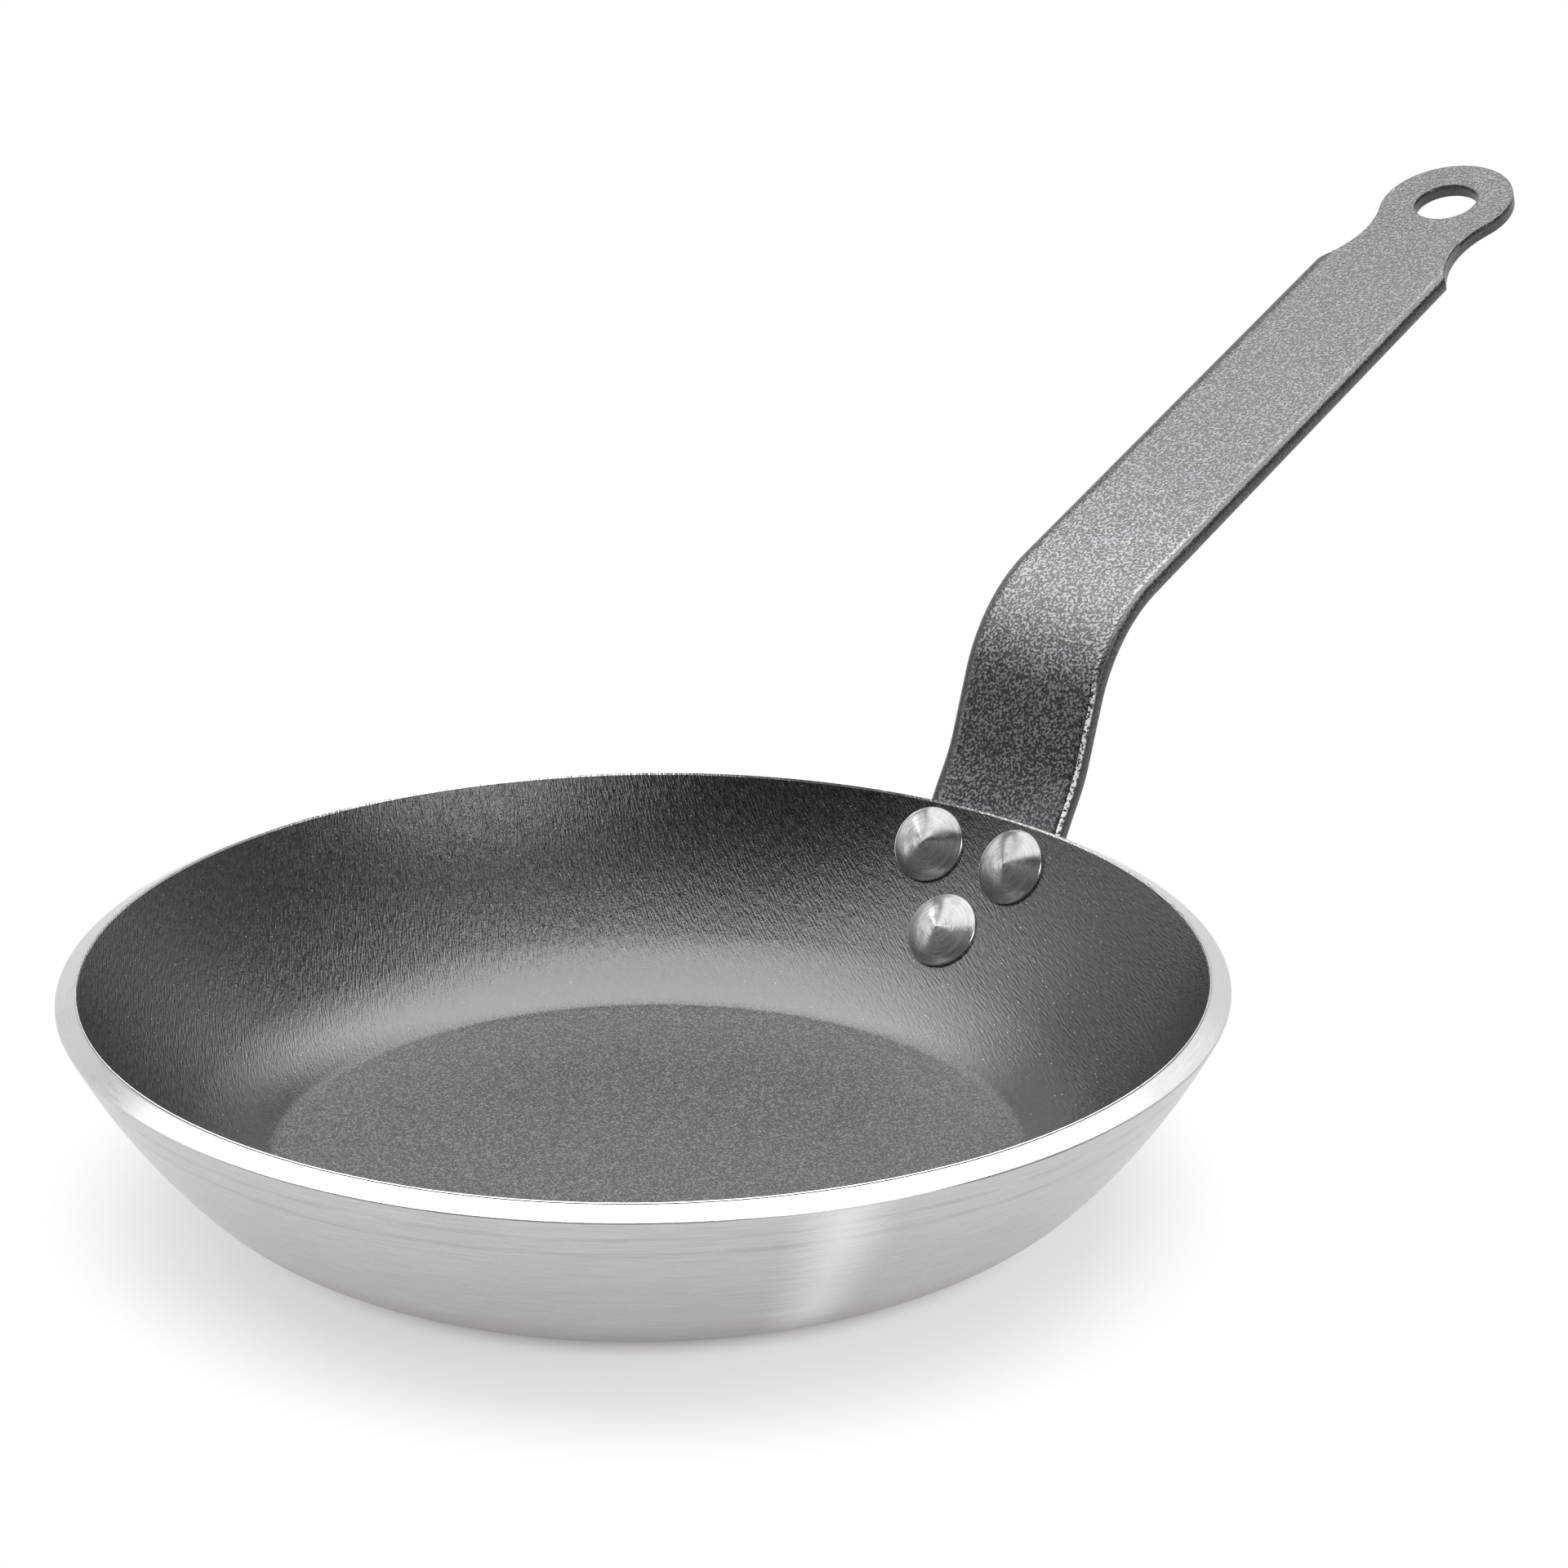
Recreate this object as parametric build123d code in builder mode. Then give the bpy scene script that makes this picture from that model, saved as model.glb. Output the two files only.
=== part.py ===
from build123d import *
import math
import os

# Omelette pan: a pressed aluminium bowl with a nonstick coat, and a bent steel
# strip handle held by three rivets. Millimetres and degrees, +Z up, origin at
# the centre of the flat underside, handle along +X.

# Bowl
rim_radius = 100.0
rim_height = 36.8
rim_slope = 64.0
wall_thickness = 4.0
heel_radius = 31.4
floor_fillet = 18.0
coat_thickness = 0.15

# Handle strip, measured along its top face from the rim to the hanging eye
strip_width = 30.8
strip_thickness = 3.0
strip_edge_radius = 1.3
foot_length = 5.8
foot_bend_radius = 50.0
riser_slope = 71.5
riser_length = 12.5
grip_bend_radius = 28.3
grip_slope = 21.8
grip_length = 131.5

# Foot of the strip, dished to the bowl, and the tongue round the lower rivet
foot_steps = 5
foot_taper = 9.0
tongue_radius = 9.0
seat_bite = 0.1
dish_at_run_share = 0.7
dish_at_bend_share = 0.25

# Hanging eye and the neck that leads to it
eye_radius = 13.7
eye_hole_radius = 6.4
neck_radius = 21.2
neck_width = 22.2

# Rivets
rivet_radius = 3.0
rivet_below_rim = 8.4
rivet_row_gap = 15.2
rivet_pair_gap = 19.2
head_radius = 7.15
head_edge = 0.9
head_height = 3.0
tail_radius = 4.7
tail_end_radius = 3.6
tail_edge = 1.1
tail_height = 2.0
tail_play = 0.03

# How far every cutting tool runs past what it cuts
overrun = 2.0

# The wall is a zone of a sphere centred on the axis, so the square cut of the
# rim, the rivets and the foot of the handle all point at that centre.
bowl_radius = rim_radius / math.sin(math.radians(rim_slope))
bowl_centre = rim_height + bowl_radius * math.cos(math.radians(rim_slope))
inner_radius = bowl_radius - wall_thickness


def on_sphere(radius, slope, turn=0.0):
    """The point of a sphere about the bowl's centre where the wall has this slope."""
    across = radius * math.sin(math.radians(slope))
    down = radius * math.cos(math.radians(slope))
    along = across * math.cos(math.radians(turn))
    aside = across * math.sin(math.radians(turn))
    return Vector(along, aside, bowl_centre - down)


def bowl_lines(depth, corner_radius):
    """Draws the bowl's section from the axis to the rim, at a depth inside its outer face."""
    sphere_radius = bowl_radius - depth
    corner_reach = sphere_radius - corner_radius
    corner_drop = bowl_centre - depth - corner_radius
    floor_radius = math.sqrt(corner_reach**2 - corner_drop**2)
    join_slope = math.degrees(math.atan2(floor_radius, corner_drop))
    Line((0, depth), (floor_radius, depth))
    CenterArc((floor_radius, depth + corner_radius), corner_radius, -90, join_slope)
    CenterArc((0, bowl_centre), sphere_radius, join_slope - 90, rim_slope - join_slope)


def bowl_layer(outer_depth, outer_corner, inner_depth, inner_corner):
    """Revolves the layer of the bowl that lies between two depths."""
    outer_rim = on_sphere(bowl_radius - outer_depth, rim_slope)
    inner_rim = on_sphere(bowl_radius - inner_depth, rim_slope)
    with BuildSketch(Plane.XZ) as layer:
        with BuildLine():
            bowl_lines(outer_depth, outer_corner)
            Line((outer_rim.X, outer_rim.Z), (inner_rim.X, inner_rim.Z))
            bowl_lines(inner_depth, inner_corner)
            Line((0, inner_depth), (0, outer_depth))
        make_face()
    revolve(layer.sketch, axis=Axis.Z)


# Where the rivets are: the slope of the wall there and the turn about the axis
upper_slope = rim_slope - math.degrees(rivet_below_rim / inner_radius)
lower_slope = upper_slope - math.degrees(rivet_row_gap / inner_radius)
pair_circle = inner_radius * math.sin(math.radians(upper_slope))
pair_turn = math.degrees(math.asin(rivet_pair_gap / 2 / pair_circle))
rivet_places = {
    "handle_rivet_left": (upper_slope, pair_turn),
    "handle_rivet_right": (upper_slope, -pair_turn),
    "handle_rivet_lower": (lower_slope, 0.0),
}


def wall_plane(slope, turn):
    """The plane that touches the wall's outer face at a place: Z into the bowl, Y up the wall."""
    spot = on_sphere(bowl_radius, slope, turn)
    inward = Vector(0, 0, bowl_centre) - spot
    sideways = Vector(math.sin(math.radians(turn)), -math.cos(math.radians(turn)), 0)
    return Plane(origin=spot, x_dir=sideways, z_dir=inward)


def rivet_holes():
    """Cuts the shanks' holes through whatever the current part holds there."""
    reach = wall_thickness + strip_thickness + overrun
    for slope, turn in rivet_places.values():
        with BuildSketch(wall_plane(slope, turn)) as shank:
            Circle(rivet_radius)
        extrude(shank.sketch, amount=reach, both=True, mode=Mode.SUBTRACT)


os.makedirs("parts", exist_ok=True)

# Bowl: one sheet of even thickness with a square cut rim
with BuildPart() as pan_body:
    bowl_layer(0.0, heel_radius, wall_thickness, floor_fillet)
    rivet_holes()
pan_body.part.label = "pan_body"
export_step(pan_body.part, "parts/pan_body.step")

# Coat over the whole inside of the bowl
with BuildPart() as nonstick_coating:
    bowl_layer(wall_thickness, floor_fillet, wall_thickness + coat_thickness, floor_fillet - coat_thickness)
    rivet_holes()
nonstick_coating.part.label = "nonstick_coating"
export_step(nonstick_coating.part, "parts/nonstick_coating.step")


# Handle: the line of the strip's top face, and its section anywhere along it
def strip_section(plane, dish_share, bite=0.0):
    """Draws the strip's section, dished to a share of the bowl's curve, face on the plane's X axis."""
    half = strip_width / 2
    with BuildSketch(plane) as section:
        with BuildLine():
            if dish_share > 0:
                dish = bowl_radius / dish_share
                face_rise = dish - math.sqrt(dish**2 - half**2)
                back_rise = dish - math.sqrt((dish + strip_thickness) ** 2 - half**2)
                ThreePointArc((-half, face_rise + bite), (0, bite), (half, face_rise + bite))
                Line((half, face_rise + bite), (half, back_rise))
                ThreePointArc((half, back_rise), (0, -strip_thickness), (-half, back_rise))
                Line((-half, back_rise), (-half, face_rise + bite))
            else:
                Polyline(
                    (-half, 0),
                    (half, 0),
                    (half, -strip_thickness),
                    (-half, -strip_thickness),
                    close=True,
                )
        make_face()
        fillet(section.vertices(), strip_edge_radius)
    return section.sketch


def across_strip(spot, direction):
    """The plane square to the strip's line at a spot, X across the strip, Y out of its top face."""
    return Plane(origin=spot, x_dir=(0, 1, 0), z_dir=direction)


with BuildPart() as handle:
    rim_spot = on_sphere(bowl_radius, rim_slope)
    with BuildLine(Plane.XZ, mode=Mode.PRIVATE) as foot_line:
        run = PolarLine((rim_spot.X, rim_spot.Z), foot_length, rim_slope)
        low_bend = JernArc(run @ 1, run % 1, foot_bend_radius, riser_slope - rim_slope)
    with BuildLine(Plane.XZ, mode=Mode.PRIVATE) as grip_line:
        riser = Line(low_bend @ 1, low_bend @ 1 + (low_bend % 1) * riser_length)
        bend = JernArc(riser @ 1, riser % 1, grip_bend_radius + strip_thickness, grip_slope - riser_slope)
        grip = Line(bend @ 1, bend @ 1 + (bend % 1) * (grip_length + eye_radius + overrun))
    # The dished foot and the bend above the rim, where the strip turns flat
    foot_start = lower_slope - math.degrees((tongue_radius + overrun) / bowl_radius)
    foot_sections = []
    for step in range(foot_steps + 1):
        slope = foot_start + (rim_slope - foot_start) * step / foot_steps
        spot = on_sphere(bowl_radius, slope)
        direction = Vector(math.cos(math.radians(slope)), 0, math.sin(math.radians(slope)))
        foot_sections.append(strip_section(across_strip(spot, direction), 1.0, seat_bite))
    foot_sections.append(strip_section(across_strip(run @ 1, run % 1), dish_at_run_share))
    foot_sections.append(strip_section(across_strip(low_bend @ 0.5, low_bend % 0.5), dish_at_bend_share))
    riser_section = strip_section(across_strip(riser @ 0, riser % 0), 0.0)
    foot_sections.append(riser_section)
    loft(foot_sections)
    # The flat strip up the riser, over the bend and along the grip
    sweep(riser_section, path=grip_line.line)
    # Tongue round the lower rivet, cut square through the foot
    tongue_plane = wall_plane(lower_slope, 0.0)
    cut_width = strip_width + 2 * overrun
    cut_depth = strip_thickness + wall_thickness + overrun
    with BuildSketch(tongue_plane) as tongue_waste:
        with Locations((0, foot_taper)):
            Rectangle(cut_width, foot_taper + tongue_radius + 2 * overrun, align=(Align.CENTER, Align.MAX))
        with BuildSketch(mode=Mode.SUBTRACT):
            with BuildLine():
                CenterArc((0, 0), tongue_radius, 0, 360)
                Line((-strip_width / 2, foot_taper), (strip_width / 2, foot_taper))
            make_hull()
    extrude(amount=cut_depth, both=True, mode=Mode.SUBTRACT)
    # Neck and eye, cut square through the end of the grip
    eye_centre = grip @ 0 + (grip % 0) * grip_length
    eye_plane = Plane(origin=eye_centre, x_dir=grip % 0, z_dir=Vector(0, -1, 0).cross(grip % 0))
    with BuildSketch(eye_plane) as eye_waste:
        neck_reach = neck_width / 2 + neck_radius
        neck_back = math.sqrt((eye_radius + neck_radius) ** 2 - neck_reach**2)
        eye_join = neck_back * eye_radius / (eye_radius + neck_radius)
        shoulder = neck_back + math.sqrt(neck_radius**2 - (neck_reach - strip_width / 2) ** 2)
        with Locations((-shoulder, 0)):
            Rectangle(shoulder + eye_radius + 2 * overrun, cut_width, align=(Align.MIN, Align.CENTER))
        with BuildSketch(mode=Mode.SUBTRACT):
            with Locations((-shoulder, 0)):
                Rectangle(shoulder - eye_join, strip_width, align=(Align.MIN, Align.CENTER))
            with Locations((-neck_back, neck_reach), (-neck_back, -neck_reach)):
                Circle(neck_radius, mode=Mode.SUBTRACT)
            Circle(eye_radius)
    extrude(amount=cut_depth, both=True, mode=Mode.SUBTRACT)
    with BuildSketch(eye_plane):
        Circle(eye_hole_radius)
    extrude(amount=cut_depth, both=True, mode=Mode.SUBTRACT)
    rivet_holes()
    # Bed the foot on the wall, which it was drawn a little way into
    add(pan_body.part, mode=Mode.SUBTRACT)
handle.part.label = "handle"
export_step(handle.part, "parts/handle.step")


def build_rivet(name, slope, turn):
    """Turns a rivet: a domed head that sits on the coat by its rim, and a set tail on the strip."""
    wall = wall_plane(slope, turn)
    coat_face = wall_thickness + coat_thickness
    head_seat = bowl_radius - math.sqrt((bowl_radius - coat_face) ** 2 - head_radius**2)
    head_rim = coat_face + head_edge
    head_top = coat_face + head_height
    dome_rise = head_height - head_edge
    dome_radius = (head_radius**2 + dome_rise**2) / (2 * dome_rise)
    dome_reach = math.degrees(math.asin(head_radius / dome_radius))
    tail_seat = -strip_thickness - tail_play
    tail_end = -strip_thickness - tail_height
    with BuildPart() as rivet:
        with BuildSketch(Plane(wall.origin, x_dir=wall.x_dir, z_dir=wall.x_dir.cross(wall.z_dir))):
            with BuildLine():
                CenterArc((0, head_top - dome_radius), dome_radius, 90 - dome_reach, dome_reach)
                Polyline(
                    (head_radius, head_rim),
                    (head_radius, head_seat),
                    (rivet_radius, head_seat),
                    (rivet_radius, tail_seat),
                    (tail_radius, tail_seat),
                    (tail_radius, -strip_thickness - tail_edge),
                    (tail_end_radius, tail_end),
                    (0, tail_end),
                    (0, head_top),
                )
            make_face()
        revolve(axis=Axis(wall.origin, wall.z_dir))
    rivet.part.label = name
    export_step(rivet.part, f"parts/{name}.step")


# Rivets: a turned head in the bowl and a set tail behind the strip
for name, (slope, turn) in rivet_places.items():
    build_rivet(name, slope, turn)
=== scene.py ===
"""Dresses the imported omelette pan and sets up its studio.

Everything is in metres and in the row's frame: the bowl stands on its base at the origin, +Z is up and
the handle runs along +X. New pieces are grids of points worked out with numpy.
"""

from __future__ import annotations

import logging
import math
from collections.abc import Callable
from dataclasses import dataclass, field, replace
from enum import Enum

import bpy
import numpy as np
from mathutils import Matrix, Vector

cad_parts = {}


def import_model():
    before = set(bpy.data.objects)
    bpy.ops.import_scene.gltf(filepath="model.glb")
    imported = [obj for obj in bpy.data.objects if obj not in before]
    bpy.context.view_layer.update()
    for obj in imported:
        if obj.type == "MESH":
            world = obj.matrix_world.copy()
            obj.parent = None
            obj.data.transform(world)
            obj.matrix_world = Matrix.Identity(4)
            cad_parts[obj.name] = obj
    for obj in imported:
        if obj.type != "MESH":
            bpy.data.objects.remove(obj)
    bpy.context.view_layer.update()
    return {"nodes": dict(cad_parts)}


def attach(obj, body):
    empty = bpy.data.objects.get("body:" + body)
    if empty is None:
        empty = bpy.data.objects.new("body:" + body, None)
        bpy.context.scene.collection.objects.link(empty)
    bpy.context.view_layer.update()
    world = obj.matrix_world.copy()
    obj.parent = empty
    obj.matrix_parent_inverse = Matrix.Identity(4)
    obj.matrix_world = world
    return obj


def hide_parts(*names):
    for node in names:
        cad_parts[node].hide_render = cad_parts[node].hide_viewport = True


MM = 0.001
log = logging.getLogger("omelette_pan")

Colour = tuple[float, float, float]
Span = tuple[float, float]
Socket = bpy.types.NodeSocket
NOWHERE = (0.0, 0.0, 0.0)
FLAT = (1.0, 1.0, 0.0)
WHITE = (1.0, 1.0, 1.0, 1.0)
UV_UNIT = 10.0 * MM


def degrees(angle: float) -> float:
    """Returns an angle given in degrees in radians."""
    return math.radians(angle)


def smooth_step(values: np.ndarray, low: float, high: float) -> np.ndarray:
    """Rises from 0 at low to 1 at high as 3t^2 - 2t^3, where t is the share of the way.

    Args:
        values: Where to read the step.
        low: Where it starts to rise.
        high: Where it has risen.

    Returns:
        The step's height at each value.
    """
    share = np.clip((values - low) / (high - low), 0.0, 1.0)
    return share * share * (3.0 - 2.0 * share)


def arc(centre: tuple[float, float], radius: float, start: float, end: float, count: int) -> np.ndarray:
    """Points of a circle's arc: the centre plus the radius times (cosine, sine) of evenly spaced angles.

    Args:
        centre: The circle's centre.
        radius: The circle's radius.
        start: The first angle, in radians.
        end: The last angle, in radians.
        count: How many points.

    Returns:
        An array of count rows and two columns.
    """
    angles = np.linspace(start, end, count)
    return np.stack([centre[0] + radius * np.cos(angles), centre[1] + radius * np.sin(angles)], axis=1)


def line(start: tuple[float, float], end: tuple[float, float], count: int) -> np.ndarray:
    """Evenly spaced points of a straight line, as an array of count rows and two columns."""
    return np.linspace(start, end, count)


def add_object(name: str, data: bpy.types.ID) -> bpy.types.Object:
    """Makes an object of a mesh, a lamp or a camera and links it to the scene."""
    made = bpy.data.objects.new(name, data)
    bpy.context.scene.collection.objects.link(made)
    return made


@dataclass
class Grid:
    """One sheet of quads: a rows by columns grid of points, with a UV pair for each point."""

    points: np.ndarray
    uv: np.ndarray

    def corners(self) -> np.ndarray:
        """Returns the four point numbers of every quad, in order round it."""
        rows, columns = self.points.shape[:2]
        numbers = np.arange(rows * columns).reshape(rows, columns)
        quads = [numbers[:-1, :-1], numbers[1:, :-1], numbers[1:, 1:], numbers[:-1, 1:]]
        return np.stack(quads, axis=-1).reshape(-1, 4)


def build_mesh(name: str, grids: list[Grid], sharp: float, weld: float = 1e-6) -> bpy.types.Object:
    """Welds grids along their shared edges into one closed mesh whose faces point outwards.

    Points are the same where their coordinates, rounded to the weld distance, are. A quad with a corner
    repeated becomes a triangle. The enclosed volume is the sum over the triangles of the triple product
    of their corners over six, and where it comes out negative every face is turned round.

    Args:
        name: The object's name.
        grids: The sheets that the mesh is made of.
        sharp: The angle, in degrees, past which an edge is shaded as a crease.
        weld: The weld distance.

    Returns:
        The new object, linked to the scene.
    """
    points = np.concatenate([grid.points.reshape(-1, 3) for grid in grids])
    uv = np.concatenate([grid.uv.reshape(-1, 2) for grid in grids])
    starts = np.cumsum([0] + [grid.points.shape[0] * grid.points.shape[1] for grid in grids[:-1]])
    quads = np.concatenate([grid.corners() + start for grid, start in zip(grids, starts)])
    cells = np.round(points / weld).astype(np.int64)
    _, first, welded = np.unique(cells, axis=0, return_index=True, return_inverse=True)
    points, corners = points[first], welded.reshape(-1)[quads]
    kept = corners != np.roll(corners, -1, axis=1)
    whole = kept.sum(axis=1) >= 3
    kept, corners, corner_uv = kept[whole], corners[whole], uv[quads][whole]
    fans = np.concatenate([corners[:, [0, 1, 2]], corners[:, [0, 2, 3]]])
    one, two, three = (points[fans[:, corner]] for corner in range(3))
    volume = (one * np.cross(two, three)).sum() / 6.0
    if volume < 0.0:
        kept, corners, corner_uv = kept[:, ::-1], corners[:, ::-1], corner_uv[:, ::-1]
    loops, totals = corners[kept], kept.sum(axis=1)

    mesh = bpy.data.meshes.new(name)
    mesh.vertices.add(len(points))
    mesh.vertices.foreach_set("co", points.astype(np.float32).ravel())
    mesh.loops.add(len(loops))
    mesh.loops.foreach_set("vertex_index", loops.astype(np.int32))
    mesh.polygons.add(len(totals))
    mesh.polygons.foreach_set("loop_start", np.concatenate([[0], np.cumsum(totals)[:-1]]).astype(np.int32))
    layer = mesh.uv_layers.new(name="surface")
    layer.data.foreach_set("uv", corner_uv[kept].astype(np.float32).ravel())
    mesh.update(calc_edges=True)
    mesh.validate()
    mesh.shade_smooth()
    mesh.set_sharp_from_angle(angle=degrees(sharp))
    return add_object(name, mesh)


def revolve(outline: np.ndarray, count: int) -> Grid:
    """Turns an outline of (radius, height) rows once round the Z axis.

    The point at step k of the turn and row j of the outline is (r cos a, r sin a, z), with a the k-th
    share of a full turn. UV is the share of the turn, and the length along the outline.

    Args:
        outline: The outline, one row for each point.
        count: How many steps the turn has.

    Returns:
        The grid, whose first and last rows fall together.
    """
    turn = np.linspace(0.0, 2.0 * math.pi, count + 1)[:, None]
    radius, height = outline[None, :, 0], outline[None, :, 1]
    points = np.stack([radius * np.cos(turn), radius * np.sin(turn), height + 0.0 * turn], axis=-1)
    points[-1] = points[0]
    steps = np.hypot(*np.diff(outline, axis=0).T)
    along = np.concatenate([[0.0], np.cumsum(steps)])[None, :] + 0.0 * turn
    return Grid(points, np.stack([turn / (2.0 * math.pi) + 0.0 * along, along], axis=-1))


@dataclass
class Wiring:
    """Adds nodes to one tree and links them."""

    tree: bpy.types.NodeTree

    def add(self, kind: str, inputs: dict | None = None, **settings: object) -> bpy.types.Node:
        """Adds a node.

        Args:
            kind: The node's type.
            inputs: For an input's name or number, the value it has or the socket it is linked to.
            settings: Properties of the node.

        Returns:
            The node.
        """
        node = self.tree.nodes.new(kind)
        for name, value in settings.items():
            setattr(node, name, value)
        for name, value in (inputs or {}).items():
            self.put(value, node.inputs[name])
        return node

    def put(self, value: object, target: Socket) -> None:
        """Links a socket to an input, or sets the input's own value."""
        if isinstance(value, Socket):
            self.tree.links.new(value, target)
        else:
            target.default_value = value

    def math(self, operation: str, *terms: object, clamp: bool = False) -> Socket:
        """Returns the result of a Math node on its values or sockets."""
        inputs = dict(enumerate(terms))
        return self.add("ShaderNodeMath", inputs, operation=operation, use_clamp=clamp).outputs[0]

    def times(self, first: object, second: object) -> Socket:
        """Returns the product of two values or sockets."""
        return self.math("MULTIPLY", first, second)

    def away(self, value: object, centre: object) -> Socket:
        """Returns how far a value is from another."""
        return self.math("ABSOLUTE", self.math("SUBTRACT", value, centre))

    def vector(self, operation: str, first: object, second: object = NOWHERE) -> Socket:
        """Returns the vector that a Vector Math node makes of two vectors or sockets."""
        return self.add("ShaderNodeVectorMath", {0: first, 1: second}, operation=operation).outputs[0]

    def measure(self, operation: str, first: object, second: object = NOWHERE) -> Socket:
        """Returns the number that a Vector Math node makes of two vectors, such as a length."""
        return self.add("ShaderNodeVectorMath", {0: first, 1: second}, operation=operation).outputs[1]

    def scaled(self, vector: object, factor: object) -> Socket:
        """Returns a vector times a number."""
        return self.add("ShaderNodeVectorMath", {0: vector, 3: factor}, operation="SCALE").outputs[0]

    def parts(self, vector: Socket) -> list[Socket]:
        """Returns a vector's three coordinates."""
        return list(self.add("ShaderNodeSeparateXYZ", {0: vector}).outputs)

    def step(self, value: object, low: float, high: object, start: float = 0.0, end: float = 1.0) -> Socket:
        """Returns a value that turns smoothly from start to end as another goes from low to high."""
        inputs = {"Value": value, "From Min": low, "From Max": high, "To Min": start, "To Max": end}
        return self.add("ShaderNodeMapRange", inputs, interpolation_type="SMOOTHSTEP").outputs["Result"]

    def fade(self, value: object, low: float, high: object) -> Socket:
        """Returns a value that falls smoothly from 1 to 0 as another goes from low to high."""
        return self.step(value, low, high, 1.0, 0.0)

    def mix(self, share: object, first: object, second: object) -> Socket:
        """Returns a colour that is a share of the way from the first to the second."""
        node = self.add("ShaderNodeMix", {0: share}, data_type="RGBA")
        ends = [socket for socket in node.inputs if socket.type == "RGBA"]
        for socket, colour in zip(ends, (first, second)):
            self.put(colour if isinstance(colour, Socket) else (*colour, 1.0), socket)
        return next(socket for socket in node.outputs if socket.type == "RGBA")

    def noise(self, vector: object, scale: object, detail: float = 2.0, rough: float = 0.5) -> Socket:
        """Returns a noise value about 0.5, read at a vector."""
        inputs = {"Vector": vector, "Scale": scale, "Detail": detail, "Roughness": rough}
        return self.add("ShaderNodeTexNoise", inputs).outputs["Fac"]


def empty_tree(owner: bpy.types.ID) -> Wiring:
    """Clears the nodes of a new material or world and returns the wiring of its tree."""
    owner.use_nodes = True
    owner.node_tree.nodes.clear()
    return Wiring(owner.node_tree)


def group(name: str, inputs: dict[str, object], fill: Callable[[Wiring, dict], Socket]) -> bpy.types.NodeTree:
    """Makes a shader node group whose one output is a number, or finds it again.

    Args:
        name: The group's name.
        inputs: For each input's name, its default value: a number, or three of them for a vector.
        fill: Given the wiring and the group's inputs, makes the inside and returns its result.

    Returns:
        The group's node tree.
    """
    if name in bpy.data.node_groups:
        return bpy.data.node_groups[name]
    tree = bpy.data.node_groups.new(name, "ShaderNodeTree")
    for label, value in inputs.items():
        kind = "NodeSocketVector" if isinstance(value, tuple) else "NodeSocketFloat"
        tree.interface.new_socket(label, in_out="INPUT", socket_type=kind).default_value = value
    tree.interface.new_socket("Value", in_out="OUTPUT", socket_type="NodeSocketFloat")
    wiring = Wiring(tree)
    given = wiring.add("NodeGroupInput").outputs
    wiring.add("NodeGroupOutput", {"Value": fill(wiring, given)})
    return tree


def grain_group() -> bpy.types.NodeTree:
    """A noise whose grains are drawn out: the place is turned about Z, then divided by the grain's size."""

    def fill(wiring: Wiring, given: dict) -> Socket:
        """Returns the noise."""
        inputs = {"Vector": given["Place"], "Angle": given["Turn"]}
        turned = wiring.add("ShaderNodeVectorRotate", inputs, rotation_type="Z_AXIS").outputs[0]
        return wiring.noise(wiring.vector("DIVIDE", turned, given["Size"]), 1.0, 2.0, 0.55)

    return group("drawn_grain", {"Place": NOWHERE, "Size": (MM, MM, MM), "Turn": 0.0}, fill)


def ring_group() -> bpy.types.NodeTree:
    """Turning marks: noise read across the profile at full rate, and hardly at all round the axis.

    Across is the distance from the axis plus the height, which grows steadily along any profile of the
    bowl. The noise is read at (across over pitch, cosine, sine of the turn times Drift).
    """

    def fill(wiring: Wiring, given: dict) -> Socket:
        """Returns the noise."""
        flat = wiring.vector("MULTIPLY", given["Place"], FLAT)
        across = wiring.math("ADD", wiring.measure("LENGTH", flat), wiring.parts(given["Place"])[2])
        around = wiring.parts(wiring.scaled(wiring.vector("NORMALIZE", flat), given["Drift"]))
        inputs = {0: wiring.math("DIVIDE", across, given["Pitch"]), 1: around[0], 2: around[1]}
        return wiring.noise(wiring.add("ShaderNodeCombineXYZ", inputs).outputs[0], 1.0, 3.0, 0.6)

    return group("turning_rings", {"Place": NOWHERE, "Pitch": MM, "Drift": 1.0}, fill)


def speck_group() -> bpy.types.NodeTree:
    """Scattered specks: inside a cell's core, of the few cells whose random number passes 1 - Share."""

    def fill(wiring: Wiring, given: dict) -> Socket:
        """Returns the specks' mask."""
        inputs = {"Vector": wiring.scaled(given["Place"], given["Density"]), "Scale": 1.0}
        cells = wiring.add("ShaderNodeTexVoronoi", inputs, feature="F1").outputs
        pick = wiring.add("ShaderNodeSeparateColor", {0: cells["Color"]}).outputs[0]
        chosen = wiring.math("GREATER_THAN", pick, wiring.math("SUBTRACT", 1.0, given["Share"]))
        return wiring.times(chosen, wiring.fade(cells["Distance"], 0.16, 0.34))

    return group("specks", {"Place": NOWHERE, "Density": 1000.0, "Share": 0.1}, fill)


def smudge_group() -> bpy.types.NodeTree:
    """Soft patches: a wide noise with its middle stretched, from 0 to 1."""

    def fill(wiring: Wiring, given: dict) -> Socket:
        """Returns the patches' mask."""
        return wiring.step(wiring.noise(given["Place"], given["Scale"], 3.0, 0.6), 0.42, 0.68)

    return group("smudges", {"Place": NOWHERE, "Scale": 30.0}, fill)


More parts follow.
